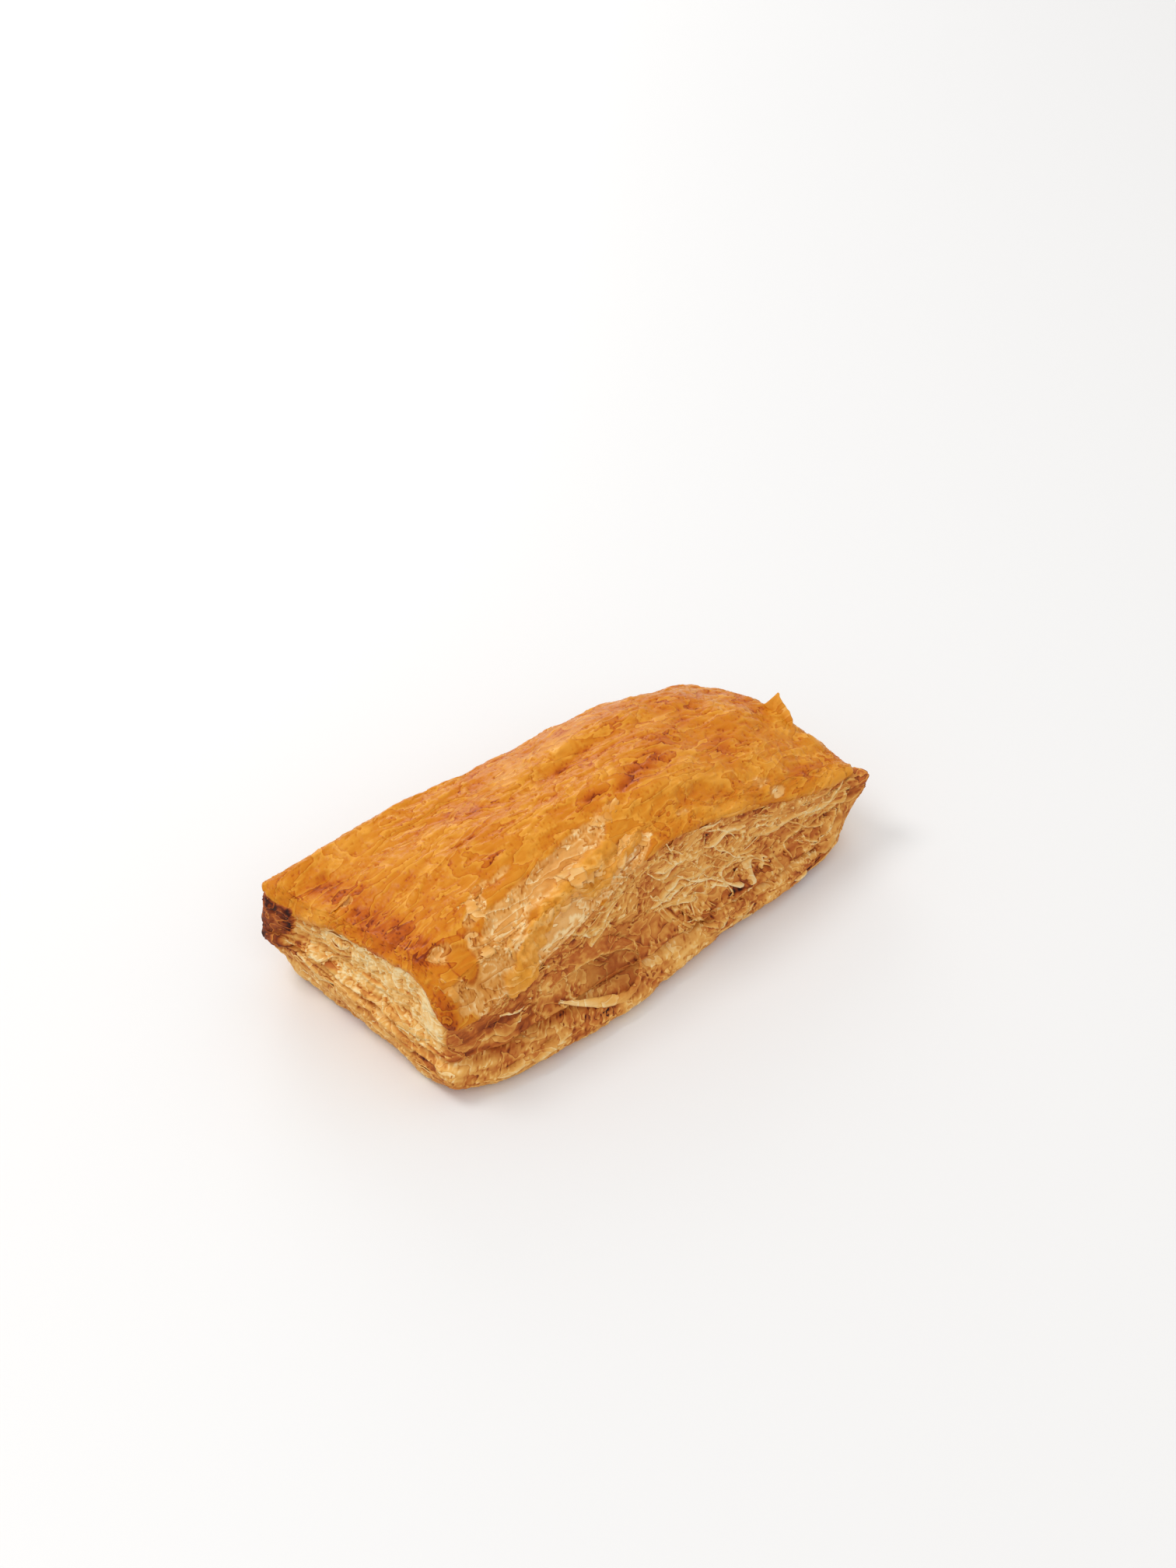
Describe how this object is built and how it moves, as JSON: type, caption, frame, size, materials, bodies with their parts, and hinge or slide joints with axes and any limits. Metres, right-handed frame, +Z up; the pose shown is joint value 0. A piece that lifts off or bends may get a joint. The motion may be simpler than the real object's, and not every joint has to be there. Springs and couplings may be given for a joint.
{
  "type": "vegetable puff",
  "caption": "Baked puff-pastry pillow with a glazed domed top, a torn flaky side, a pinched seam low round its sides and a flat underside.",
  "frame": {"origin": "on the flat underside, in the middle of the bounding box in plan", "axes": "+Z up, +X along the long side towards the end with the pinched tip, -Y towards the long side where the torn layers show"},
  "size_m": [0.1518, 0.0754, 0.043],
  "materials": {
    "crust": "egg-washed and baked, glossy golden orange on top, dry and paler on the flaky sides"
  },
  "bodies": {
    "root": {"vegetable_puff": "crust"}
  },
  "joints": []
}
